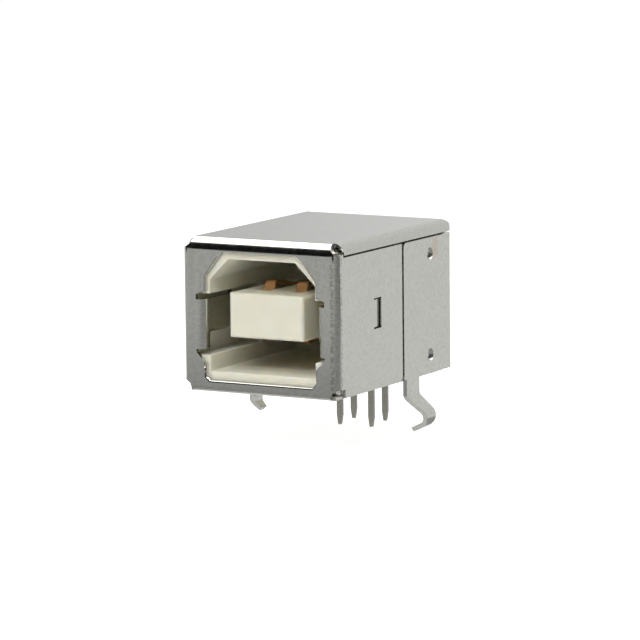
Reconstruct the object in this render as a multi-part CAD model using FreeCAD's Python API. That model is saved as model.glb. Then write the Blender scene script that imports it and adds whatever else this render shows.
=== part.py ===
import FreeCAD, Part
import math
import os

# Square board socket: a folded sheet shell, a moulded insulator with a tongue, and four contacts.
# Millimetres. Y runs from the front face to the back, Z up from the board, X across.

# Shell: outside size and sheet
SHEET = 0.30
SHELL_WIDTH = 12.04
SHELL_HEIGHT = 10.51
SHELL_DEPTH = 16.30
SIDE_FOOT = 0.16

# Shell: outside bend radii
FRONT_TOP_BEND = 0.85
FRONT_BOTTOM_BEND = 0.38
FRONT_SIDE_BEND = 0.48
REAR_CORNER_BEND = 0.46
REAR_TOP_BEND = 0.52
TOP_EDGE_BEND = 0.85

# Shell: the cuts that let the sheet fold
CORNER_BITE = 0.72
FLANGE_BITE_DEPTH = 0.32
LIP_START = 0.92
LIP_DEPTH = 0.80
LIP_GAP = 0.13
LIP_END_GAP = 0.14
LID_FROM_SIDE = 0.70
SEAM_AHEAD_OF_LEG = 1.49
SEAM_GAP = 0.25
SEAM_CORNER = 0.35
FLANGE_GAP = 0.12
FLANGE_PAST_LEG = 1.45

# Shell: front opening
OPENING_FROM_SIDE = 1.80
OPENING_FROM_TOP = 0.89
OPENING_BOTTOM = 0.82
OPENING_CORNER_WIDTH = 1.32
OPENING_CORNER_DROP = 1.75
OPENING_FOOT_CHAMFER = 0.28

# Shell: spring fingers inside the opening
FINGER_BOTTOM = 2.87
FINGER_BELOW_SHOULDER = 1.60
FINGER_ROOT_REACH = 0.75
FINGER_BEND = 0.36
FINGER_NOTCH_ABOVE = 0.36
FINGER_NOTCH_ABOVE_RISE = 0.18
FINGER_NOTCH_BELOW = 0.20
FINGER_NOTCH_BELOW_RISE = 0.74
FINGER_STUB = 0.72
FINGER_STEP = 0.16
FINGER_DEPTH = 2.25
FINGER_LEAN_START = 1.30
FINGER_CREST = 5.20
FINGER_PROUD = 0.16
FINGER_END = 6.60
FINGER_END_FLARE = 0.40
FINGER_LEAN_BEND = 1.00
FINGER_CREST_BEND = 0.60

# Shell: locking tabs in the front side walls
TAB_HINGE = 4.95
TAB_LENGTH = 0.92
TAB_BELOW_TOP = 4.29
TAB_HEIGHT = 1.85
TAB_SLIT = 0.12
TAB_PUSH = 0.16

# Shell: round dimples in the rear side walls
DIMPLE_FROM_BACK = 3.30
DIMPLE_RADIUS = 0.43
DIMPLE_DEPTH = 0.30
DIMPLE_WALL = 0.20
LOWER_DIMPLE = 1.43
UPPER_DIMPLE_BELOW_TOP = 2.07

# Shell: board legs
LEG_FROM_BACK = 5.85
LEG_WIDTH = 1.82
LEG_KNEE_DROP = 1.03
LEG_KNEE_BEND = 0.25
LEG_NOSE_BEND = 0.42
LEG_NOSE_WIDTH = 1.26
LEG_TIP_WIDTH = 0.56
RIGHT_NOSE = (2.05, 2.59)
RIGHT_TIP = (0.16, 3.50)
LEFT_NOSE = (0.82, 2.15)
LEFT_TIP = (0.00, 2.92)

# Insulator: outside block
FIT = 0.04
BLOCK_CORNER = 0.62
BLOCK_FRONT_CORNER = 0.32
BLOCK_FOOT_GAP = 0.12

# Insulator: mouth and tongue
MOUTH_STEP = 0.14
MOUTH_BOTTOM_STEP = 0.57
MOUTH_TOP_STEP = 0.53
MOUTH_CORNER_WIDTH = 1.50
MOUTH_CORNER_DROP = 1.46
MOUTH_BACK_WALL = 1.135
TONGUE_SIDE_GAP = 1.20
TONGUE_HEIGHT = 3.06
TONGUE_START = 0.80
TONGUE_SIDE_ROUND = 0.32
TONGUE_NOSE_ROUND = 0.26
TONGUE_EDGE_ROUND = 0.20

# Insulator: pockets for the fingers and tabs
POCKET_MARGIN = 0.40
POCKET_SKIN = 0.45
POCKET_RUN = 0.60
TAB_PLAY = 0.08

# Contacts
CONTACT_PITCH = 2.50
CONTACT_SHEET = 0.25
BEAM_WIDTH = 0.80
BEAM_BEND = 0.20
BEAM_TIP = 3.62
BEAM_TIP_LIFT = 0.04
CREST = 3.90
CREST_LIFT = 0.74
CREST_BEND = 0.15
RAMP_END = 8.20
RAMP_BEND = 2.00
GROOVE_DEPTH = 0.40
GROOVE_START = 2.75
GROOVE_PLAY = 0.05
NEAR_ROW_FROM_LEG = 2.71
ROW_PITCH = 2.00
PIN_WIDTH = 0.44
PIN_SHOULDER = 2.20
NEAR_PIN_DROP = 3.99
FAR_PIN_DROP = 3.85
PIN_TAPER = 0.70
PIN_TIP_WIDTH = 0.20

half_width = SHELL_WIDTH / 2
wall_inside = half_width - SHEET
lip_edge = SHELL_HEIGHT - LIP_DEPTH
side_top = lip_edge - LIP_GAP
lid_side = half_width - LID_FROM_SIDE
leg_line = SHELL_DEPTH - LEG_FROM_BACK
seam_start = leg_line - SEAM_AHEAD_OF_LEG
seam_end = seam_start + SEAM_GAP
flange_side = wall_inside - FLANGE_GAP
flange_end = leg_line + FLANGE_PAST_LEG
opening_side = half_width - OPENING_FROM_SIDE
opening_top = SHELL_HEIGHT - OPENING_FROM_TOP
opening_shoulder = opening_top - OPENING_CORNER_DROP
finger_root = opening_side + FINGER_ROOT_REACH
finger_top = opening_shoulder - FINGER_BELOW_SHOULDER
tab_top = SHELL_HEIGHT - TAB_BELOW_TOP
tab_bottom = tab_top - TAB_HEIGHT
dimple_ball = (DIMPLE_RADIUS ** 2 + DIMPLE_DEPTH ** 2) / (2 * DIMPLE_DEPTH)
mouth_side = opening_side - MOUTH_STEP
mouth_bottom = OPENING_BOTTOM + MOUTH_BOTTOM_STEP
mouth_top = opening_top - MOUTH_TOP_STEP
tongue_side = mouth_side - TONGUE_SIDE_GAP
tongue_middle = (mouth_bottom + mouth_top) / 2
near_row = leg_line + NEAR_ROW_FROM_LEG
far_row = near_row + ROW_PITCH
channel_front = near_row - CONTACT_SHEET / 2
mouth_depth = channel_front - MOUTH_BACK_WALL
beyond = 2 * SHELL_DEPTH


def point_on(plane, across, along, height):
    """Point of a drawing plane, at a height above that plane."""
    if plane == "xy":
        return FreeCAD.Vector(across, along, height)
    if plane == "xz":
        return FreeCAD.Vector(across, height, along)
    return FreeCAD.Vector(height, across, along)


def corner_arc(before, corner, after, radius):
    """Start, middle and end of the arc that rounds a corner."""
    back = (before - corner).normalize()
    ahead = (after - corner).normalize()
    half_angle = back.getAngle(ahead) / 2
    reach = radius / math.tan(half_angle)
    bisector = (back + ahead).normalize()
    middle = corner + bisector * (radius / math.sin(half_angle) - radius)
    return corner + back * reach, middle, corner + ahead * reach


def prism(plane, corners, start, end, radii=None):
    """Outline in a plane, its corners rounded where a radius is given, drawn from start to end."""
    points = [point_on(plane, across, along, start) for across, along in corners]
    radii = radii or [0] * len(points)
    stops = []
    for index, point in enumerate(points):
        if radii[index] > 0:
            after = points[(index + 1) % len(points)]
            stops.append(corner_arc(points[index - 1], point, after, radii[index]))
        else:
            stops.append((point,))
    edges = []
    for index, stop in enumerate(stops):
        if len(stop) == 3:
            edges.append(Part.Arc(*stop).toShape())
        following = stops[(index + 1) % len(stops)][0]
        if stop[-1].distanceToPoint(following) > 1e-6:
            edges.append(Part.makeLine(stop[-1], following))
    face = Part.Face(Part.Wire(edges))
    return face.extrude(point_on(plane, 0, 0, end) - point_on(plane, 0, 0, start))


def block(x_start, x_end, y_start, y_end, z_start, z_end):
    """Plain box between two limits on each axis."""
    size = (x_end - x_start, y_end - y_start, z_end - z_start)
    return Part.makeBox(*size, FreeCAD.Vector(x_start, y_start, z_start))


def mirrored_outline(right_half):
    """Closed outline from its right half, which runs from the bottom to the top."""
    return right_half + [(-across, along) for across, along in reversed(right_half)]


def mirror(shape):
    """The same shape on the left of the middle plane."""
    return shape.mirror(FreeCAD.Vector(0, 0, 0), FreeCAD.Vector(1, 0, 0))


def both_sides(shapes):
    """Shapes of the right side, with their mirror images."""
    return list(shapes) + [mirror(shape) for shape in shapes]


def offset_run(run, distance):
    """Run of straight lines moved to its left, or to its right where the distance is negative."""
    points = [FreeCAD.Vector(across, along, 0) for across, along in run]
    headings = [(b - a).normalize() for a, b in zip(points, points[1:])]
    normals = [FreeCAD.Vector(-heading.y, heading.x, 0) for heading in headings]
    moved = [points[0] + normals[0] * distance]
    for index in range(1, len(points) - 1):
        bisector = (normals[index - 1] + normals[index]).normalize()
        stretch = distance / bisector.dot(normals[index])
        moved.append(points[index] + bisector * stretch)
    moved.append(points[-1] + normals[-1] * distance)
    return [(point.x, point.y) for point in moved]


def turns_left(before, corner, after):
    """True where a run turns left at a corner."""
    step = (corner[0] - before[0], corner[1] - before[1])
    following = (after[0] - corner[0], after[1] - corner[1])
    return step[0] * following[1] - step[1] * following[0] > 0


def bent_strip(plane, run, bends, thickness, start, end):
    """Sheet with one face on a run and the other a thickness to its left, bends as inside radii."""
    far_run = offset_run(run, thickness)
    near_radii = [0]
    far_radii = [0]
    for index, bend in enumerate(bends, start=1):
        left_turn = turns_left(run[index - 1], run[index], run[index + 1])
        far_is_inside = left_turn == (thickness > 0)
        near_radii.append(bend + abs(thickness) if far_is_inside else bend)
        far_radii.append(bend if far_is_inside else bend + abs(thickness))
    near_radii.append(0)
    far_radii.append(0)
    outline = run + far_run[::-1]
    return prism(plane, outline, start, end, near_radii + far_radii[::-1])


def drawn_cover(inset):
    """Rear of the shell as a solid: top edges and back corners rounded, moved in by an inset."""
    side = half_width - inset
    back = SHELL_DEPTH - inset
    top = SHELL_HEIGHT - inset
    corner = REAR_CORNER_BEND - inset
    plan = [(-side, LIP_START), (side, LIP_START), (side, back), (-side, back)]
    from_above = prism("xy", plan, inset, top, [0, 0, corner, corner])
    edge = TOP_EDGE_BEND - inset
    front_view = [(-side, inset), (side, inset), (side, top), (-side, top)]
    from_front = prism("xz", front_view, LIP_START, back, [0, 0, edge, edge])
    side_view = [(LIP_START, inset), (back, inset), (back, top), (LIP_START, top)]
    from_side = prism("yz", side_view, -half_width, half_width, [0, 0, REAR_TOP_BEND - inset, 0])
    return from_above.common(from_front).common(from_side)


def front_tray(inset):
    """Front of the shell as a solid, with its four bends, moved in by an inset."""
    side = half_width - inset
    top = SHELL_HEIGHT - inset
    plan = [(-side, LIP_START), (-side, inset), (side, inset), (side, LIP_START)]
    side_bend = FRONT_SIDE_BEND - inset
    from_above = prism("xy", plan, inset, top, [0, side_bend, side_bend, 0])
    section = [(LIP_START, inset), (LIP_START, top), (inset, top), (inset, inset)]
    bends = [0, 0, FRONT_TOP_BEND - inset, FRONT_BOTTOM_BEND - inset]
    from_side = prism("yz", section, -half_width, half_width, bends)
    return from_above.common(from_side)


def opening_outline():
    """Front opening of the sheet, widened to a notch above and below each finger."""
    notch_below = FINGER_BOTTOM - FINGER_NOTCH_BELOW
    notch_above = finger_top + FINGER_NOTCH_ABOVE
    return mirrored_outline([
        (opening_side - OPENING_FOOT_CHAMFER, OPENING_BOTTOM),
        (opening_side, OPENING_BOTTOM + OPENING_FOOT_CHAMFER),
        (opening_side, notch_below - FINGER_NOTCH_BELOW_RISE),
        (finger_root, notch_below),
        (finger_root, notch_above),
        (opening_side, notch_above + FINGER_NOTCH_ABOVE_RISE),
        (opening_side, opening_shoulder),
        (opening_side - OPENING_CORNER_WIDTH, opening_top),
    ])


def corner_bites():
    """Round bites that free the bends at the four front corners."""
    bites = []
    for height in (0, SHELL_HEIGHT):
        centre = FreeCAD.Vector(half_width, -SHEET, height)
        along = FreeCAD.Vector(0, 1, 0)
        bites.append(Part.makeCylinder(CORNER_BITE, LIP_START + SHEET, centre, along))
    bites[0] = bites[0].cut(block(0, flange_side, FLANGE_BITE_DEPTH, beyond, -beyond, SHEET))
    return bites


def fold_cuts():
    """Gaps on the right side between the lid, the front side wall, the rear wrap and the floor."""
    lip_slot = block(lid_side, beyond, LIP_START, beyond, side_top, lip_edge)
    lip_end = block(lid_side, beyond, LIP_START - LIP_END_GAP, LIP_START, side_top, beyond)
    seam = block(flange_side, beyond, seam_start, seam_end, -beyond, lip_edge)
    floor_gap = block(flange_side, wall_inside, SHEET, beyond, -beyond, SHEET)
    side_foot = block(wall_inside, beyond, SHEET, beyond, -beyond, SIDE_FOOT)
    side_corner = block(wall_inside, beyond, seam_start - SEAM_CORNER, seam_start,
                        -SHEET, SIDE_FOOT + SEAM_CORNER)
    pivot = FreeCAD.Vector(0, seam_start - SEAM_CORNER, SIDE_FOOT + SEAM_CORNER)
    rounding = Part.makeCylinder(SEAM_CORNER, beyond, pivot, FreeCAD.Vector(1, 0, 0))
    wrap_corner = block(wall_inside, beyond, seam_end, seam_end + SEAM_CORNER,
                        side_top - SEAM_CORNER, side_top)
    wrap_pivot = FreeCAD.Vector(0, seam_end + SEAM_CORNER, side_top - SEAM_CORNER)
    wrap_rounding = Part.makeCylinder(SEAM_CORNER, beyond, wrap_pivot, FreeCAD.Vector(1, 0, 0))
    return [lip_slot, lip_end, seam, floor_gap, side_foot,
            side_corner.cut(rounding), wrap_corner.cut(wrap_rounding)]


def finger():
    """Right spring finger: bent back from the opening's edge, drawn in to a crest, flared at its end."""
    face = finger_root - FINGER_BEND - SHEET
    crest = mouth_side - FINGER_PROUD
    run = [
        (finger_root + SHEET, 0),
        (face, 0),
        (face, FINGER_LEAN_START),
        (crest, FINGER_CREST),
        (crest + FINGER_END_FLARE, FINGER_END),
    ]
    bends = [FINGER_BEND, FINGER_LEAN_BEND, FINGER_CREST_BEND]
    bent = bent_strip("xy", run, bends, -SHEET, FINGER_BOTTOM, finger_top)
    arm_bottom = finger_top - FINGER_DEPTH
    side_view = [
        (0, FINGER_BOTTOM),
        (FINGER_STUB, FINGER_BOTTOM),
        (FINGER_STUB, arm_bottom),
        (beyond, arm_bottom),
        (beyond, finger_top),
        (0, finger_top),
    ]
    radii = [0, 0, FINGER_STEP, 0, 0, 0]
    return bent.common(prism("yz", side_view, 0, half_width, radii))


def tab_window():
    """Slit round three sides of the right locking tab."""
    return block(wall_inside - SHEET, beyond, TAB_HINGE, TAB_HINGE + TAB_LENGTH + TAB_SLIT,
                 tab_bottom - TAB_SLIT, tab_top + TAB_SLIT)


def tab():
    """Right locking tab, hinged at its front and pushed in at its free end."""
    end = TAB_HINGE + TAB_LENGTH
    plan = [
        (half_width, TAB_HINGE),
        (half_width - TAB_PUSH, end),
        (wall_inside - TAB_PUSH, end),
        (wall_inside, TAB_HINGE),
    ]
    return prism("xy", plan, tab_bottom, tab_top)


def dimple_balls(radius):
    """Balls that press the two dimples of the right rear wall, or the room round them."""
    across = half_width - DIMPLE_DEPTH + dimple_ball
    along = SHELL_DEPTH - DIMPLE_FROM_BACK
    heights = (LOWER_DIMPLE, SHELL_HEIGHT - UPPER_DIMPLE_BELOW_TOP)
    return [Part.makeSphere(radius, FreeCAD.Vector(across, along, height)) for height in heights]


def dimples():
    """Pressed bosses inside the right rear wall, and the hollows behind them."""
    inner_half = block(0, wall_inside + SHEET / 2, 0, beyond, 0, SHELL_HEIGHT)
    bosses = [ball.common(inner_half) for ball in dimple_balls(dimple_ball + DIMPLE_WALL)]
    return bosses, dimple_balls(dimple_ball)


def leg(nose, tip):
    """Right board leg: straight, bent out to a rounded nose, and back in to its tip."""
    run = [
        (half_width, SIDE_FOOT + SEAM_CORNER),
        (half_width, -LEG_KNEE_DROP),
        (half_width + nose[0], -nose[1]),
        (half_width + tip[0], -tip[1]),
    ]
    start = leg_line - LEG_WIDTH / 2
    bent = bent_strip("xz", run, [LEG_KNEE_BEND, LEG_NOSE_BEND], -SHEET, start, start + LEG_WIDTH)
    right_edge = [
        (LEG_TIP_WIDTH / 2, -tip[1] - SHEET),
        (LEG_TIP_WIDTH / 2, -tip[1]),
        (LEG_NOSE_WIDTH / 2, -nose[1]),
        (LEG_WIDTH / 2, -LEG_KNEE_DROP),
        (LEG_WIDTH / 2, SHELL_HEIGHT),
    ]
    side_view = [(leg_line + along, height) for along, height in mirrored_outline(right_edge)]
    return bent.common(prism("yz", side_view, 0, beyond))


def shell():
    """The one folded sheet."""
    outside = drawn_cover(0).fuse(front_tray(0))
    inside = drawn_cover(SHEET).fuse(front_tray(SHEET))
    body = outside.cut(inside)
    rear_floor = block(-wall_inside, wall_inside, flange_end, SHELL_DEPTH - SHEET, -SHEET, SHEET)
    opening = prism("xz", opening_outline(), -SHEET, 2 * SHEET)
    bosses, recesses = dimples()
    body = body.cut(both_sides(corner_bites() + fold_cuts() + [tab_window()]) + [rear_floor, opening])
    added = both_sides([finger(), tab()] + bosses)
    added += [leg(RIGHT_NOSE, RIGHT_TIP), mirror(leg(LEFT_NOSE, LEFT_TIP))]
    return body.fuse(added).cut(both_sides(recesses)).removeSplitter()


def insulator_block():
    """Outside of the moulding, cut back at its edges to sit inside the shell's bends."""
    side = wall_inside - FIT
    front = SHEET + FIT
    back = SHELL_DEPTH - SHEET - FIT
    bottom = SHEET + FIT
    top = SHELL_HEIGHT - SHEET - FIT
    foot = flange_end + BLOCK_FOOT_GAP
    front_view = [
        (side, 0), (side, top - BLOCK_CORNER), (side - BLOCK_CORNER, top),
        (-side + BLOCK_CORNER, top), (-side, top - BLOCK_CORNER), (-side, 0),
    ]
    side_view = [
        (front + BLOCK_FRONT_CORNER, bottom), (foot, bottom), (foot, 0), (back, 0),
        (back, top - BLOCK_CORNER), (back - BLOCK_CORNER, top),
        (front + BLOCK_CORNER, top), (front, top - BLOCK_CORNER),
        (front, bottom + BLOCK_FRONT_CORNER),
    ]
    plan = mirrored_outline([
        (side - BLOCK_FRONT_CORNER, front), (side, front + BLOCK_FRONT_CORNER),
        (side, back - BLOCK_CORNER), (side - BLOCK_CORNER, back),
    ])
    body = prism("xz", front_view, front, back)
    body = body.common(prism("yz", side_view, -half_width, half_width))
    return body.common(prism("xy", plan, 0, SHELL_HEIGHT))


def mouth():
    """Chamfered cavity that takes the plug."""
    outline = mirrored_outline([
        (mouth_side, mouth_bottom),
        (mouth_side, mouth_top - MOUTH_CORNER_DROP),
        (mouth_side - MOUTH_CORNER_WIDTH, mouth_top),
    ])
    return prism("xz", outline, 0, mouth_depth)


def tongue():
    """Tongue that carries the contacts, its nose and long edges rounded."""
    half = tongue_side
    low = tongue_middle - TONGUE_HEIGHT / 2
    high = tongue_middle + TONGUE_HEIGHT / 2
    root = mouth_depth + SHEET
    plan = [(-half, root), (-half, TONGUE_START), (half, TONGUE_START), (half, root)]
    from_above = prism("xy", plan, low, high, [0, TONGUE_SIDE_ROUND, TONGUE_SIDE_ROUND, 0])
    section = [(TONGUE_START, low), (root, low), (root, high), (TONGUE_START, high)]
    rounds = [TONGUE_NOSE_ROUND, 0, 0, TONGUE_NOSE_ROUND]
    from_side = prism("yz", section, -half, half, rounds)
    front_view = [(-half, low), (half, low), (half, high), (-half, high)]
    from_front = prism("xz", front_view, TONGUE_START, root, [TONGUE_EDGE_ROUND] * 4)
    return from_above.common(from_side).common(from_front)


def side_pockets():
    """Right pocket that the finger moves in, and the window behind it for the locking tab."""
    outer = wall_inside - POCKET_SKIN
    finger_pocket = block(0, outer, 0, FINGER_END + POCKET_RUN,
                          FINGER_BOTTOM - POCKET_MARGIN, finger_top + POCKET_MARGIN)
    tongue_room = block(0, tongue_side + SHEET, 0, beyond, 0, SHELL_HEIGHT)
    tab_pocket = block(outer - SHEET, beyond, TAB_HINGE - TAB_PLAY, TAB_HINGE + TAB_LENGTH + TAB_PLAY,
                       tab_bottom - TAB_PLAY, tab_top + TAB_PLAY)
    return [finger_pocket.cut(tongue_room), tab_pocket]


def dimple_pockets():
    """Round pockets on the right that the pressed dimples seat in."""
    return dimple_balls(dimple_ball + DIMPLE_WALL + FIT)


def seat_height(side):
    """Height of the groove floor that a beam seats on: over the tongue for 1, under it for -1."""
    return tongue_middle + side * (TONGUE_HEIGHT / 2 - GROOVE_DEPTH)


def contact_grooves():
    """Grooves along the tongue, the slots behind them, and the channels that the tails hang in."""
    cuts = []
    half = BEAM_WIDTH / 2 + GROOVE_PLAY
    slot_height = CONTACT_SHEET + BEAM_BEND + GROOVE_PLAY
    top = seat_height(1) + slot_height
    for middle in (-CONTACT_PITCH / 2, CONTACT_PITCH / 2):
        for side in (1, -1):
            seat = seat_height(side)
            ends = sorted((seat, seat + side * slot_height))
            cuts.append(block(middle - half, middle + half, GROOVE_START, channel_front + SHEET, *ends))
        cuts.append(block(middle - half, middle + half, channel_front, beyond, -SHEET, top))
    return cuts


def insulator():
    """The one moulding: block, mouth, tongue, pockets and contact channels."""
    body = insulator_block().cut(mouth()).fuse(tongue())
    cuts = both_sides(side_pockets() + dimple_pockets()) + contact_grooves()
    return body.cut(cuts).removeSplitter()


def contact(middle, side, row, drop):
    """Contact with a sprung crest over the tongue, a beam in its groove and a tail down to the board."""
    seat = seat_height(side)
    tail = row - side * CONTACT_SHEET / 2
    run = [
        (BEAM_TIP, seat + side * BEAM_TIP_LIFT),
        (CREST, seat + side * CREST_LIFT),
        (RAMP_END, seat),
        (tail, seat),
        (tail, -drop),
    ]
    bends = [CREST_BEND, RAMP_BEND, BEAM_BEND]
    left, right = middle - BEAM_WIDTH / 2, middle + BEAM_WIDTH / 2
    bent = bent_strip("yz", run, bends, side * CONTACT_SHEET, left, right)
    outline = mirrored_outline([
        (PIN_TIP_WIDTH / 2, -drop),
        (PIN_WIDTH / 2, PIN_TAPER - drop),
        (PIN_WIDTH / 2, PIN_SHOULDER - (BEAM_WIDTH - PIN_WIDTH)),
        (BEAM_WIDTH / 2, PIN_SHOULDER),
        (BEAM_WIDTH / 2, SHELL_HEIGHT),
    ])
    front_view = [(middle + across, height) for across, height in outline]
    return bent.common(prism("xz", front_view, 0, SHELL_DEPTH))


def contacts():
    """Four contacts: two over the tongue with tails in the far row, two under it in the near row."""
    made = {}
    left, right = -CONTACT_PITCH / 2, CONTACT_PITCH / 2
    made["contact_1"] = contact(left, 1, far_row, FAR_PIN_DROP)
    made["contact_2"] = contact(right, 1, far_row, FAR_PIN_DROP)
    made["contact_3"] = contact(left, -1, near_row, NEAR_PIN_DROP)
    made["contact_4"] = contact(right, -1, near_row, NEAR_PIN_DROP)
    return made


def main():
    """Every piece, moved so that the origin is midway between the legs on the board."""
    pieces = {"shell": shell(), "insulator": insulator()}
    pieces.update(contacts())
    os.makedirs("parts", exist_ok=True)
    for name, shape in pieces.items():
        if len(shape.Solids) != 1 or not shape.isValid():
            raise ValueError(name + " is not one valid solid")
        solid = shape.Solids[0]
        solid.translate(FreeCAD.Vector(0, -leg_line, 0))
        solid.exportStep("parts/" + name + ".step")
        print(name, round(solid.Volume, 3), solid.BoundBox)


main()
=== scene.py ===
import math

import bmesh
import bpy
from mathutils import Matrix, Vector


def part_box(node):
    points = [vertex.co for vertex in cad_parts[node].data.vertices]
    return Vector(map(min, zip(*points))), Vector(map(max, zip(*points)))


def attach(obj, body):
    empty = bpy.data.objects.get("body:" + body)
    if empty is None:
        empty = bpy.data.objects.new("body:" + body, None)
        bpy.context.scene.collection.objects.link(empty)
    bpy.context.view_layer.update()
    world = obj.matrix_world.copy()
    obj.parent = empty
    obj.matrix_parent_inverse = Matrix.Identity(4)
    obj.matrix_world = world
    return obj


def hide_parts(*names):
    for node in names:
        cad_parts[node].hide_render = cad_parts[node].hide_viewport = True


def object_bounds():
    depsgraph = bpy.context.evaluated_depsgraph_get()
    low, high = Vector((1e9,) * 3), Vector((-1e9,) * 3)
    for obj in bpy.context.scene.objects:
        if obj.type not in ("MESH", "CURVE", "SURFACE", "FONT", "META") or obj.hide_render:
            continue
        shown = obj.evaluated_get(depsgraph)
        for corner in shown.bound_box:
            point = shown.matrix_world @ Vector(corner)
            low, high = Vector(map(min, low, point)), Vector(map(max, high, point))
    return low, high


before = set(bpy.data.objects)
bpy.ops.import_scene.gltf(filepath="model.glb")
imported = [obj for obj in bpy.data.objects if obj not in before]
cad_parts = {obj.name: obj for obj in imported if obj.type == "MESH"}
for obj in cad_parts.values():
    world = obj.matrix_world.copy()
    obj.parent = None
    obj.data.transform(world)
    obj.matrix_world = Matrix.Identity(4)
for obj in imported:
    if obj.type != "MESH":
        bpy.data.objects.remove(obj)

bl_info = {
    "name": "Board Socket Finish",
    "version": (1, 0, 0),
    "blender": (4, 5, 0),
    "location": "3D View > Sidebar > Socket",
    "description": "Finishes a folded-shell board socket and sets up its studio",
    "category": "Object",
}

cad_low, cad_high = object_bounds()
MM = 0.001

# Turn between two faces above which their shared edge is a cut edge, and not a facet line of a bend.
SHARP = math.radians(32)
# Angle between two edges of an outline below which it turns a corner there.
CORNER = math.radians(150)
# Length that an edge beside a rounding needs, in parts of the rounding's size.
MOUTH_ROOM = 1.5
EDGE_ROOM = 2.2
# Box on the front plate, in mm, that holds the opening's edges: half its width, its bottom and its top.
MOUTH_SIDE, MOUTH_LOW, MOUTH_HIGH = 5.3, 0.5, 9.25
# Planes in mm that part the shell's long thin faces near their ends, clear of its other edges.
SHELL_CUTS = ((9.2, (0, 0, 1)), (1.4, (0, 0, 1)), (5.12, (1, 0, 0)), (-5.12, (1, 0, 0)))


def linear(hex_colour):
    """Linear colour of an sRGB hex value."""
    channels = [int(hex_colour[i:i + 2], 16) / 255 for i in (0, 2, 4)]
    return tuple(c / 12.92 if c <= 0.04045 else ((c + 0.055) / 1.055) ** 2.4 for c in channels)


def opaque(colour):
    """A colour with full alpha, as node sockets hold it."""
    return (*colour, 1.0)


def add(tree, kind, inputs=None, **settings):
    """Adds one node: settings are its own, inputs are values or sockets to link."""
    node = tree.nodes.new(kind)
    for name, value in settings.items():
        setattr(node, name, value)
    for name, value in (inputs or {}).items():
        if isinstance(value, bpy.types.NodeSocket):
            tree.links.new(value, node.inputs[name])
        else:
            node.inputs[name].default_value = value
    return node


def new_material(name):
    """Empty node material."""
    material = bpy.data.materials.new(name)
    material.use_nodes = True
    material.node_tree.nodes.clear()
    return material


def per_mm(size):
    """Texture scale, in turns per metre, that gives a pattern of a size in millimetres."""
    return 1.0 / (size * MM)


def box_mask(tree, coords, low, high, soft):
    """One inside a box given in millimetres, fading out over a soft margin, zero outside."""
    split = add(tree, "ShaderNodeSeparateXYZ", {"Vector": coords})
    mask = 1.0
    for axis, lowest, highest in zip("XYZ", low, high):
        middle = (lowest + highest) / 2 * MM
        half = (highest - lowest) / 2 * MM
        shifted = add(tree, "ShaderNodeMath", {0: split.outputs[axis], 1: middle}, operation="SUBTRACT")
        away = add(tree, "ShaderNodeMath", {0: shifted.outputs[0]}, operation="ABSOLUTE")
        inside = add(tree, "ShaderNodeMapRange", {
            "Value": away.outputs[0], "From Min": half, "From Max": half + soft * MM,
            "To Min": 1.0, "To Max": 0.0,
        }, interpolation_type="SMOOTHSTEP")
        product = add(tree, "ShaderNodeMath", {0: inside.outputs[0], 1: mask}, operation="MULTIPLY")
        mask = product.outputs[0]
    return mask


def blend(tree, factor, first, second):
    """Mix of two colours."""
    node = add(tree, "ShaderNodeMix", data_type="RGBA")
    for index, value in ((0, factor), (6, first), (7, second)):
        if isinstance(value, bpy.types.NodeSocket):
            tree.links.new(value, node.inputs[index])
        else:
            node.inputs[index].default_value = value
    return node.outputs[2]


def tin_plate(finish):
    """Tin-plated brass strip, rolled, stamped and folded: a soft grey mirror, finely mottled.

    It has fine grains, rolling streaks that run up its walls, and clouds 3 mm wide.
    """
    material = new_material("tin_plated_strip")
    tree = material.node_tree
    coords = add(tree, "ShaderNodeTexCoord").outputs["Object"]
    grain = add(tree, "ShaderNodeTexNoise", {
        "Vector": coords, "Scale": per_mm(finish.mottle_size), "Detail": 4.0, "Roughness": 0.6,
    })
    rolled = add(tree, "ShaderNodeMapping", {"Vector": coords, "Scale": (1.0, 1.0, 0.05)})
    streaks = add(tree, "ShaderNodeTexNoise", {
        "Vector": rolled.outputs[0], "Scale": per_mm(finish.streak_spacing), "Detail": 2.0,
    })
    clouds = add(tree, "ShaderNodeTexNoise", {"Vector": coords, "Scale": per_mm(3.0), "Detail": 2.0})
    mottled = add(tree, "ShaderNodeMapRange", {
        "Value": grain.outputs[0], "From Min": 0.35, "From Max": 0.65,
    })
    colour = blend(tree, mottled.outputs[0], opaque(finish.shade), opaque(finish.plating))
    clouded = add(tree, "ShaderNodeMapRange", {
        "Value": clouds.outputs[0], "From Min": 0.4, "From Max": 0.7, "To Max": 0.35,
    })
    colour = blend(tree, clouded.outputs[0], colour, opaque(finish.warm))
    colour = scuffed_bends(tree, coords, colour, finish)
    colour = stained(tree, coords, colour, finish)
    rough = add(tree, "ShaderNodeMapRange", {
        "Value": streaks.outputs[0], "From Min": 0.3, "From Max": 0.7,
        "To Min": finish.roughness - 0.02, "To Max": finish.roughness + 0.04,
    })
    fine = add(tree, "ShaderNodeBump", {
        "Height": grain.outputs[0], "Strength": 0.12, "Distance": 0.004 * MM,
    })
    lines = add(tree, "ShaderNodeBump", {
        "Height": streaks.outputs[0], "Normal": fine.outputs[0],
        "Strength": 0.2, "Distance": 0.003 * MM,
    })
    waves = add(tree, "ShaderNodeBump", {
        "Height": clouds.outputs[0], "Normal": lines.outputs[0],
        "Strength": 0.3, "Distance": 0.015 * MM,
    })
    shader = add(tree, "ShaderNodeBsdfPrincipled", {
        "Base Color": colour, "Metallic": 1.0,
        "Roughness": rough.outputs[0], "Normal": waves.outputs[0],
    })
    add(tree, "ShaderNodeOutputMaterial", {"Surface": shader.outputs[0]})
    return material


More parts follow.
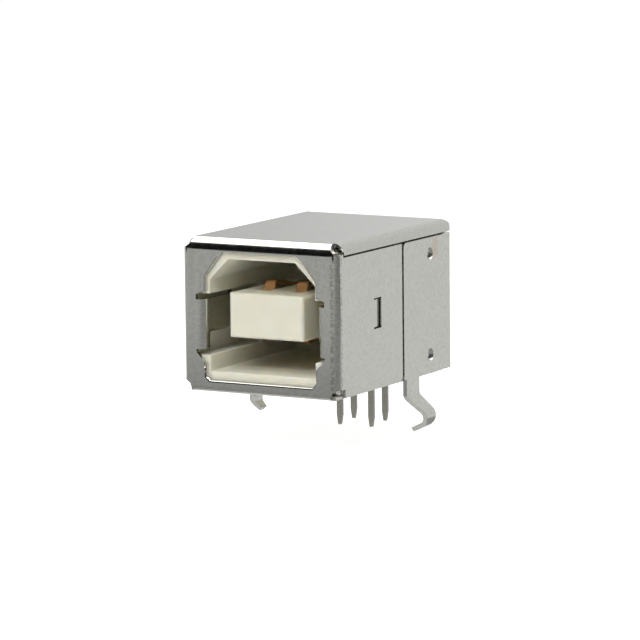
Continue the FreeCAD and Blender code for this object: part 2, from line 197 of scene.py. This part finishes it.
def scuffed_bends(tree, coords, colour, finish):
    """Galled plating at both edges of the right front bend, where the die dragged on the strip."""
    spots = add(tree, "ShaderNodeTexNoise", {
        "Vector": coords, "Scale": per_mm(0.16), "Detail": 1.0, "Roughness": 0.5,
    })
    strong = add(tree, "ShaderNodeMapRange", {
        "Value": spots.outputs[0], "From Min": 0.45, "From Max": 0.56,
    })
    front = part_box("shell")[0].y / MM
    # Each band is a box in mm: the bend's edge on the plate, its edge on the side wall, and all of it.
    bands = (
        ((5.44, front - 1, 0.4), (5.62, front + 0.1, 9.8), 1.0),
        ((5.9, front + 0.42, 0.4), (6.2, front + 0.56, 9.8), 1.0),
        ((5.44, front - 1, 0.4), (6.2, front + 0.56, 9.8), 0.4),
    )
    for start, end, share in bands:
        band = box_mask(tree, coords, start, end, 0.06)
        part = add(tree, "ShaderNodeMath", {0: strong.outputs[0], 1: share}, operation="MULTIPLY")
        amount = add(tree, "ShaderNodeMath", {0: part.outputs[0], 1: band}, operation="MULTIPLY")
        colour = blend(tree, amount.outputs[0], colour, opaque(finish.scuff))
    return colour


def stained(tree, coords, colour, finish):
    """Faint brown heat stain behind the upper dimple of the right wall."""
    mask = box_mask(tree, coords, (5.0, 3.1, 8.3), (7.0, 3.5, 9.3), 0.35)
    faint = add(tree, "ShaderNodeMath", {0: mask, 1: 0.5}, operation="MULTIPLY")
    return blend(tree, faint.outputs[0], colour, opaque(finish.stain))


def ivory_nylon(finish):
    """Glass-filled ivory nylon, moulded: dull, slightly yellow in its depth."""
    material = new_material("ivory_moulded_nylon")
    tree = material.node_tree
    coords = add(tree, "ShaderNodeTexCoord").outputs["Object"]
    haze = add(tree, "ShaderNodeTexNoise", {"Vector": coords, "Scale": per_mm(1.5), "Detail": 3.0})
    colour = blend(tree, haze.outputs[0], opaque(finish.ivory), opaque(finish.shade))
    grain = add(tree, "ShaderNodeTexNoise", {"Vector": coords, "Scale": per_mm(0.12), "Detail": 2.0})
    bump = add(tree, "ShaderNodeBump", {
        "Height": grain.outputs[0], "Strength": 0.3, "Distance": 0.006 * MM,
    })
    shader = add(tree, "ShaderNodeBsdfPrincipled", {
        "Base Color": colour, "Roughness": finish.roughness, "IOR": 1.53, "Normal": bump.outputs[0],
        "Subsurface Weight": finish.depth, "Subsurface Radius": (1.0, 0.8, 0.5),
        "Subsurface Scale": 0.7 * MM,
    })
    add(tree, "ShaderNodeOutputMaterial", {"Surface": shader.outputs[0]})
    return material


def contact_strip(finish):
    """Phosphor bronze strip: copper red where it wipes the plug, dull tin on the solder tail."""
    material = new_material("bronze_contact_strip")
    tree = material.node_tree
    coords = add(tree, "ShaderNodeTexCoord").outputs["Object"]
    split = add(tree, "ShaderNodeSeparateXYZ", {"Vector": coords})
    grain = add(tree, "ShaderNodeTexNoise", {"Vector": coords, "Scale": per_mm(0.2), "Detail": 3.0})
    edge = add(tree, "ShaderNodeMath", {
        0: grain.outputs[0], 1: 0.3 * MM, 2: split.outputs["Z"],
    }, operation="MULTIPLY_ADD")
    tinned = add(tree, "ShaderNodeMapRange", {
        "Value": edge.outputs[0], "From Min": 1.8 * MM, "From Max": 2.4 * MM,
        "To Min": 1.0, "To Max": 0.0,
    })
    dull = blend(tree, grain.outputs[0], opaque(finish.tin), opaque(finish.tin_shade))
    colour = blend(tree, tinned.outputs[0], opaque(finish.copper), dull)
    bump = add(tree, "ShaderNodeBump", {
        "Height": grain.outputs[0], "Strength": 0.3, "Distance": 0.006 * MM,
    })
    shader = add(tree, "ShaderNodeBsdfPrincipled", {
        "Base Color": colour, "Metallic": 1.0, "Roughness": finish.roughness, "Normal": bump.outputs[0],
    })
    add(tree, "ShaderNodeOutputMaterial", {"Surface": shader.outputs[0]})
    return material


def cut_edges(shape, mark):
    """Edges where the surface turns sharply, away from faces already rounded."""
    return {
        edge for edge in shape.edges
        if len(edge.link_faces) == 2 and edge.calc_face_angle() > SHARP
        and not any(face[mark] for face in edge.link_faces)
    }


def turns(vert, edges):
    """True where an outline of edges ends, forks or turns a corner."""
    met = [edge for edge in vert.link_edges if edge in edges]
    if len(met) != 2:
        return True
    first, second = ((edge.other_vert(vert).co - vert.co) for edge in met)
    return first.angle(second, 0.0) < CORNER


def roomy(edges, room):
    """The edges left when the ones beside something shorter than the room needed are taken out."""
    tight = set()
    for vert in {vert for edge in edges for vert in edge.verts}:
        for edge in vert.link_edges:
            alone = edge not in edges or all(turns(end, edges) for end in edge.verts)
            if alone and edge.calc_length() < room:
                tight.update(vert.link_edges)
    return edges - tight


def round_edges(shape, edges, size, room, mark):
    """Rounds the edges with room to a size, and marks the new faces."""
    made = bmesh.ops.bevel(
        shape, geom=list(roomy(edges, room)), offset=size, offset_type="OFFSET", affect="EDGES",
        segments=2, profile=0.5, material=-1, clamp_overlap=True,
    )
    for face in made["faces"]:
        face[mark] = 1


def weight(face):
    """A face's share in shading: area squared over length, so thin strips yield to flat faces."""
    area = face.calc_area()
    return area * area / max(edge.calc_length() for edge in face.edges)


def corner_normals(shape, mark):
    """Shading normals that keep flat faces flat and bends true: only rounded edges blend over."""
    weights = {face: weight(face) for face in shape.faces}
    normals = []
    for face in shape.faces:
        for corner in face.loops:
            around = corner.vert.link_faces
            whole = [near for near in around if not near[mark]]
            if not face[mark]:
                whole = [near for near in whole if near.normal.angle(face.normal, 0.0) < SHARP]
            total = Vector((0, 0, 0))
            for near in whole or around:
                total += near.normal * weights[near]
            normals.append(total.normalized() if total.length > 0 else face.normal.copy())
    return normals


def dressed_copy(node_name, piece_name, edge_round, material, mouth_round=0.0, cuts=()):
    """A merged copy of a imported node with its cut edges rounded, standing for that node.

    The planes in cuts keep the shading of a bend's end from tinting the whole of a long thin face.
    """
    shape = bmesh.new()
    shape.from_mesh(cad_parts[node_name].data)
    bmesh.ops.remove_doubles(shape, verts=shape.verts, dist=0.0005 * MM)
    bmesh.ops.dissolve_limit(
        shape, angle_limit=math.radians(0.4), use_dissolve_boundaries=False,
        verts=shape.verts, edges=shape.edges,
    )
    for spot, across in cuts:
        bmesh.ops.bisect_plane(
            shape, geom=[*shape.verts, *shape.edges, *shape.faces],
            plane_co=Vector(across) * spot * MM, plane_no=across,
        )
    mark = shape.faces.layers.int.new("rounded")
    if mouth_round:
        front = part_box(node_name)[0].y + 0.01 * MM
        mouth = {
            edge for edge in cut_edges(shape, mark)
            if all(
                vert.co.y < front and abs(vert.co.x) < MOUTH_SIDE * MM
                and MOUTH_LOW * MM < vert.co.z < MOUTH_HIGH * MM
                for vert in edge.verts
            )
        }
        round_edges(shape, mouth, mouth_round, MOUTH_ROOM * mouth_round, mark)
    round_edges(shape, cut_edges(shape, mark), edge_round, EDGE_ROOM * edge_round, mark)
    normals = corner_normals(shape, mark)
    shape.faces.layers.int.remove(mark)
    mesh = bpy.data.meshes.new(piece_name)
    shape.to_mesh(mesh)
    shape.free()
    mesh.shade_smooth()
    mesh.normals_split_custom_set(normals)
    mesh.materials.append(material)
    piece = bpy.data.objects.new(piece_name, mesh)
    bpy.context.scene.collection.objects.link(piece)
    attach(piece, "root")
    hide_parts(node_name)
    return piece


class SocketShellFinish(bpy.types.PropertyGroup):
    plating: bpy.props.FloatVectorProperty(
        name="Plating", description="Colour of clean plating", subtype="COLOR",
        default=linear("D0D0CA"))
    shade: bpy.props.FloatVectorProperty(
        name="Mottle", description="Darker grains in the plating", subtype="COLOR",
        default=linear("C3C3BD"))
    warm: bpy.props.FloatVectorProperty(
        name="Warm cast", description="Yellower patches of the plating", subtype="COLOR",
        default=linear("CCCCC4"))
    scuff: bpy.props.FloatVectorProperty(
        name="Scuff", description="Galled plating on the right front bend", subtype="COLOR",
        default=linear("A8A8A0"))
    stain: bpy.props.FloatVectorProperty(
        name="Stain", description="Heat stain by the dimple", subtype="COLOR", default=linear("C2AF9C"))
    roughness: bpy.props.FloatProperty(
        name="Roughness", description="Middle roughness of the plating", subtype="FACTOR",
        min=0.0, max=1.0, default=0.15)
    mottle_size: bpy.props.FloatProperty(
        name="Mottle size", description="Width of one grain in millimetres", min=0.05, default=0.22)
    streak_spacing: bpy.props.FloatProperty(
        name="Streak spacing", description="Gap between rolling streaks in millimetres",
        min=0.05, default=0.5)
    edge_round: bpy.props.FloatProperty(
        name="Edge round", description="Rounding of the stamped edges", unit="LENGTH",
        precision=6, default=0.045 * MM)
    mouth_round: bpy.props.FloatProperty(
        name="Mouth round", description="Rounding of the opening's front edges", unit="LENGTH",
        precision=6, default=0.16 * MM)


class SocketPlasticFinish(bpy.types.PropertyGroup):
    ivory: bpy.props.FloatVectorProperty(
        name="Ivory", description="Colour of the moulding", subtype="COLOR", default=linear("E8E6D8"))
    shade: bpy.props.FloatVectorProperty(
        name="Shade", description="Slightly deeper patches", subtype="COLOR", default=linear("E0DCC8"))
    roughness: bpy.props.FloatProperty(
        name="Roughness", description="Roughness of the moulding", subtype="FACTOR",
        min=0.0, max=1.0, default=0.45)
    depth: bpy.props.FloatProperty(
        name="Depth", description="Part of the light that spreads inside the moulding",
        subtype="FACTOR", min=0.0, max=1.0, default=0.6)
    edge_round: bpy.props.FloatProperty(
        name="Edge round", description="Rounding of the moulded edges", unit="LENGTH",
        precision=6, default=0.04 * MM)


class SocketContactFinish(bpy.types.PropertyGroup):
    copper: bpy.props.FloatVectorProperty(
        name="Copper", description="Bare strip on the tongue", subtype="COLOR",
        default=linear("D9A87C"))
    tin: bpy.props.FloatVectorProperty(
        name="Tin", description="Tinned solder tail", subtype="COLOR", default=linear("B2B1A7"))
    tin_shade: bpy.props.FloatVectorProperty(
        name="Tin shade", description="Duller tin", subtype="COLOR", default=linear("8F8E84"))
    roughness: bpy.props.FloatProperty(
        name="Roughness", description="Roughness of the strip", subtype="FACTOR",
        min=0.0, max=1.0, default=0.32)
    edge_round: bpy.props.FloatProperty(
        name="Edge round", description="Rounding of the strip's edges", unit="LENGTH",
        precision=6, default=0.02 * MM)


class SocketStudio(bpy.types.PropertyGroup):
    azimuth: bpy.props.FloatProperty(
        name="Azimuth", description="Camera's turn round the part, from its front", subtype="ANGLE",
        default=math.radians(29.46))
    elevation: bpy.props.FloatProperty(
        name="Elevation", description="Camera's height above the horizon", subtype="ANGLE",
        default=math.radians(8.16))
    roll: bpy.props.FloatProperty(
        name="Roll", description="Camera's tilt about its own axis", subtype="ANGLE",
        default=math.radians(-0.61))
    distance: bpy.props.FloatProperty(
        name="Distance", description="Camera's distance from its target", unit="LENGTH",
        default=0.30284)
    lens: bpy.props.FloatProperty(
        name="Lens", description="Focal length in millimetres", default=248.6)
    target: bpy.props.FloatVectorProperty(
        name="Target", description="Point that the camera looks at", subtype="XYZ", unit="LENGTH",
        precision=6, default=(0.123 * MM, -2.45 * MM, 4.124 * MM))
    floor: bpy.props.FloatVectorProperty(
        name="Floor", description="Colour of the floor", subtype="COLOR", default=linear("F6F6F6"))
    floor_coat: bpy.props.FloatVectorProperty(
        name="Floor coat", description="Part of the floor's colour that shadows fall on",
        subtype="COLOR", default=linear("B4B4B4"))
    floor_glow: bpy.props.FloatProperty(
        name="Floor glow", description="Part of the floor's white that shadows leave alone",
        default=0.95)
    ambient: bpy.props.FloatProperty(
        name="Ambient", description="Strength of the sky light", default=0.29)
    key: bpy.props.FloatProperty(
        name="Key", description="Power of the front lamp in watts", default=0.11)
    overhead: bpy.props.FloatProperty(
        name="Overhead", description="Power of the overhead lamp in watts", default=0.16)
    wall_left: bpy.props.FloatProperty(
        name="Walls, left", description="Brightness of the front wall's left end and of the left wall",
        default=0.002)
    wall_right: bpy.props.FloatProperty(
        name="Walls, right",
        description="Brightness of the front wall's right end and of the right cards",
        default=0.10)
    # The front card's darker near end is a painted shadow of the part on the floor.
    front_near: bpy.props.FloatProperty(
        name="Front card, near", description="Brightness of the front floor card near the part",
        default=0.345)
    front_far: bpy.props.FloatProperty(
        name="Front card, far", description="Brightness of the front floor card far from the part",
        default=0.55)
    side_shade: bpy.props.FloatProperty(
        name="Side card", description="Brightness of the floor card on the right", default=0.80)
    side_near: bpy.props.FloatProperty(
        name="Side card, near", description="Brightness of the right floor card beside the part",
        default=0.38)
    near_shade: bpy.props.FloatProperty(
        name="Near card", description="Brightness of the floor card under the part", default=0.70)
    back_left: bpy.props.FloatProperty(
        name="Back card, left", description="Brightness of the back card's left end", default=0.53)
    back_right: bpy.props.FloatProperty(
        name="Back card, right", description="Brightness of the back card's right end", default=0.77)


class SOCKET_OT_shell(bpy.types.Operator):
    """Finish the folded shell"""
    bl_idname = "socket.shell"
    bl_label = "Folded shell"

    def execute(self, context):
        finish = context.scene.socket_shell
        dressed_copy(
            "shell", "folded_shell", finish.edge_round, tin_plate(finish),
            finish.mouth_round, SHELL_CUTS)
        return {"FINISHED"}


class SOCKET_OT_insulator(bpy.types.Operator):
    """Finish the moulded insulator with its tongue"""
    bl_idname = "socket.insulator"
    bl_label = "Moulded insulator"

    def execute(self, context):
        finish = context.scene.socket_plastic
        dressed_copy(
            "insulator", "moulded_insulator", finish.edge_round, ivory_nylon(finish))
        return {"FINISHED"}


class SOCKET_OT_contacts(bpy.types.Operator):
    """Finish the four sprung contacts"""
    bl_idname = "socket.contacts"
    bl_label = "Contacts"

    def execute(self, context):
        finish = context.scene.socket_contact
        strip = contact_strip(finish)
        for number in range(1, 5):
            name = f"contact_{number}"
            dressed_copy(name, f"sprung_{name}", finish.edge_round, strip)
        return {"FINISHED"}


def camera_axes(studio):
    """Right, up and back directions of the camera."""
    azimuth, elevation, roll = studio.azimuth, studio.elevation, studio.roll
    back = Vector((
        math.sin(azimuth) * math.cos(elevation),
        -math.cos(azimuth) * math.cos(elevation),
        math.sin(elevation),
    ))
    level = Vector((math.cos(azimuth), math.sin(azimuth), 0.0))
    upright = back.cross(level)
    right = level * math.cos(roll) + upright * math.sin(roll)
    up = upright * math.cos(roll) - level * math.sin(roll)
    return right, up, back


def place_camera(studio):
    """Camera at the photograph's viewing angle."""
    right, up, back = camera_axes(studio)
    camera = bpy.data.objects.new("studio_camera", bpy.data.cameras.new("studio_camera"))
    bpy.context.scene.collection.objects.link(camera)
    camera.data.sensor_width = 36.0
    camera.data.lens = studio.lens
    camera.data.clip_start = 10 * MM
    camera.data.clip_end = 3.0
    spot = Vector(studio.target) + back * studio.distance
    turn = Matrix((right, up, back)).transposed().to_4x4()
    camera.matrix_world = Matrix.Translation(spot) @ turn
    bpy.context.scene.camera = camera


def plane(name, corners, material):
    """Flat stage piece through four corners."""
    shape = bmesh.new()
    shape.faces.new([shape.verts.new(corner) for corner in corners])
    mesh = bpy.data.meshes.new(name)
    shape.to_mesh(mesh)
    shape.free()
    mesh.materials.append(material)
    piece = bpy.data.objects.new(name, mesh)
    bpy.context.scene.collection.objects.link(piece)
    return piece


def floor_paint(studio):
    """Matt white floor: its glow makes it plain white, and its matt coat keeps the part's shadow."""
    material = new_material("matt_floor")
    tree = material.node_tree
    path = add(tree, "ShaderNodeLightPath")
    seen = add(tree, "ShaderNodeMath", {
        0: path.outputs["Is Camera Ray"], 1: path.outputs["Is Glossy Ray"],
    }, operation="MAXIMUM")
    seen = add(tree, "ShaderNodeMath", {
        0: seen.outputs[0], 1: path.outputs["Is Transmission Ray"],
    }, operation="MAXIMUM")
    shown = add(tree, "ShaderNodeEmission", {
        "Color": opaque(studio.floor), "Strength": studio.floor_glow,
    })
    coat = add(tree, "ShaderNodeBsdfDiffuse", {"Color": opaque(studio.floor_coat)})
    plain = add(tree, "ShaderNodeBsdfDiffuse", {"Color": opaque(studio.floor)})
    white = add(tree, "ShaderNodeAddShader")
    tree.links.new(shown.outputs[0], white.inputs[0])
    tree.links.new(coat.outputs[0], white.inputs[1])
    choice = add(tree, "ShaderNodeMixShader", {"Fac": seen.outputs[0]})
    tree.links.new(plain.outputs[0], choice.inputs[1])
    tree.links.new(white.outputs[0], choice.inputs[2])
    add(tree, "ShaderNodeOutputMaterial", {"Surface": choice.outputs[0]})
    return material


def flat(low, high, height):
    """Corners of a level rectangle between two corners of its outline."""
    (left, near), (right, far) = low, high
    return [(left, near, height), (right, near, height), (right, far, height), (left, far, height)]


def upright(start, end, foot, top):
    """Corners of a wall that stands between two points of the floor."""
    return [(*start, foot), (*end, foot), (*end, top), (*start, top)]


def place_floor(studio):
    """Pale floor at the lowest point of the part, reaching 0.9 m each way."""
    reach = 0.9
    plane("pale_floor", flat((-reach, -reach), (reach, reach), cad_low.z), floor_paint(studio))


def card_paint(name, shades, span):
    """Plain emission that goes from one shade to another between two points given in millimetres."""
    material = new_material(name)
    tree = material.node_tree
    coords = add(tree, "ShaderNodeTexCoord").outputs["Object"]
    start, end = (Vector(point) for point in span)
    run = (end - start) * MM
    shifted = add(tree, "ShaderNodeVectorMath", {0: coords, 1: start * MM}, operation="SUBTRACT")
    along = add(tree, "ShaderNodeVectorMath", {
        0: shifted.outputs[0], 1: run / run.length_squared,
    }, operation="DOT_PRODUCT")
    shade = add(tree, "ShaderNodeMapRange", {
        "Value": along.outputs["Value"], "To Min": shades[0], "To Max": shades[1],
    })
    light = add(tree, "ShaderNodeEmission", {"Strength": shade.outputs[0]})
    add(tree, "ShaderNodeOutputMaterial", {"Surface": light.outputs[0]})
    return material


def card(name, corners, shades, span=((0, 0, 0), (0, 0, 1)), dims_light=False):
    """Studio card that the metal reflects; only a card that dims the light is met by diffuse rays."""
    corners = [Vector(corner) * MM for corner in corners]
    piece = plane(name, corners, card_paint(name, shades, span))
    piece.visible_camera = False
    piece.visible_diffuse = dims_light
    piece.visible_shadow = False
    piece.visible_transmission = False


def place_cards(studio):
    """Dark walls on the camera's side, blackest at the left, and grey cards below and behind the part.

    All places are in millimetres. The floor cards lie just over the floor.
    """
    table = cad_low.z / MM + 0.05
    foot = table + 0.3
    top = 360
    left = (studio.wall_left, studio.wall_left)
    right = (studio.wall_right, studio.wall_right)
    card("front_wall", upright((-420, -220), (420, -220), foot, top),
         (studio.wall_left, studio.wall_right), ((-70, -220, 0), (110, -220, 0)), dims_light=True)
    card("left_wall", upright((-420, -220), (-420, -60), foot, top), left, dims_light=True)
    # The front floor card is darker near the part: a painted shadow of the part on the floor, which the
    # front plate's lower strip reflects.
    card("front_floor", flat((-300, -219), (200, -11), table),
         (studio.front_near, studio.front_far), ((-12, -32, table), (-30, -62, table)))
    card("side_floor", flat((6.6, -11), (170, 160), table),
         (studio.side_near, studio.side_shade), ((0, 4, table), (0, 12, table)))
    card("right_wall", upright((128, -219), (128, 32), foot, top), right)
    card("high_right_wall", upright((128, 32), (128, 149), 50, top), right)
    card("right_floor", flat((54, 4), (127, 32), foot), right)
    card("near_floor", flat((-160, -11), (6.6, 60), table), (studio.near_shade, studio.near_shade))
    card("back_wall", upright((-260, 150), (160, 150), foot, 120),
         (studio.back_left, studio.back_right), ((-110, 150, 30), (-60, 150, 30)))


def area_lamp(name, location, aim, size, power):
    """Soft square lamp pointed at a place, with places and size in millimetres and power in watts."""
    place, aim = (Vector([part * MM for part in point]) for point in (location, aim))
    data = bpy.data.lights.new(name, "AREA")
    data.shape = "SQUARE"
    data.size = size * MM
    data.energy = power
    lamp = bpy.data.objects.new(name, data)
    bpy.context.scene.collection.objects.link(lamp)
    lamp.location = place
    lamp.rotation_euler = (aim - place).to_track_quat("-Z", "Y").to_euler()


def place_sky(studio):
    """Surroundings that are plain white to the eye and in reflections, and light the part dimly."""
    world = bpy.data.worlds.new("white_surroundings")
    bpy.context.scene.world = world
    world.use_nodes = True
    tree = world.node_tree
    tree.nodes.clear()
    path = add(tree, "ShaderNodeLightPath")
    seen = add(tree, "ShaderNodeMath", {
        0: path.outputs["Is Camera Ray"], 1: path.outputs["Is Glossy Ray"],
    }, operation="MAXIMUM")
    strength = add(tree, "ShaderNodeMapRange", {
        "Value": seen.outputs[0], "To Min": studio.ambient, "To Max": 1.0,
    })
    sky = add(tree, "ShaderNodeBackground", {
        "Color": opaque((1.0, 1.0, 1.0)), "Strength": strength.outputs[0],
    })
    add(tree, "ShaderNodeOutputWorld", {"Surface": sky.outputs[0]})


class SOCKET_OT_studio(bpy.types.Operator):
    """Set up the camera, the floor, the cards and the soft light"""
    bl_idname = "socket.studio"
    bl_label = "Studio"

    def execute(self, context):
        studio = context.scene.socket_studio
        place_camera(studio)
        place_floor(studio)
        place_cards(studio)
        place_sky(studio)
        area_lamp("front_lamp", (24, -112, 105), (0, 0, 5), 60, studio.key)
        area_lamp("overhead_lamp", (-20, 16, 105), (-20, 16, 0), 150, studio.overhead)
        context.scene.view_settings.view_transform = "Standard"
        return {"FINISHED"}


class SOCKET_PT_panel(bpy.types.Panel):
    """Lists the socket's pieces and its studio"""
    bl_idname = "SOCKET_PT_panel"
    bl_label = "Board Socket"
    bl_space_type = "VIEW_3D"
    bl_region_type = "UI"
    bl_category = "Socket"

    def draw(self, context):
        scene = context.scene
        sections = (
            ("socket.shell", scene.socket_shell),
            ("socket.insulator", scene.socket_plastic),
            ("socket.contacts", scene.socket_contact),
            ("socket.studio", scene.socket_studio),
        )
        for operator, group in sections:
            box = self.layout.box()
            box.operator(operator)
            for name in group.__annotations__:
                box.prop(group, name)


GROUPS = {
    "socket_shell": SocketShellFinish,
    "socket_plastic": SocketPlasticFinish,
    "socket_contact": SocketContactFinish,
    "socket_studio": SocketStudio,
}
CLASSES = (
    *GROUPS.values(), SOCKET_OT_shell, SOCKET_OT_insulator, SOCKET_OT_contacts, SOCKET_OT_studio,
    SOCKET_PT_panel,
)


def register():
    for made in CLASSES:
        bpy.utils.register_class(made)
    for name, group in GROUPS.items():
        setattr(bpy.types.Scene, name, bpy.props.PointerProperty(type=group))


def unregister():
    for name in GROUPS:
        delattr(bpy.types.Scene, name)
    for made in reversed(CLASSES):
        bpy.utils.unregister_class(made)


def main():
    register()
    bpy.ops.socket.shell()
    bpy.ops.socket.insulator()
    bpy.ops.socket.contacts()
    bpy.ops.socket.studio()


if __name__ == "__main__":
    main()
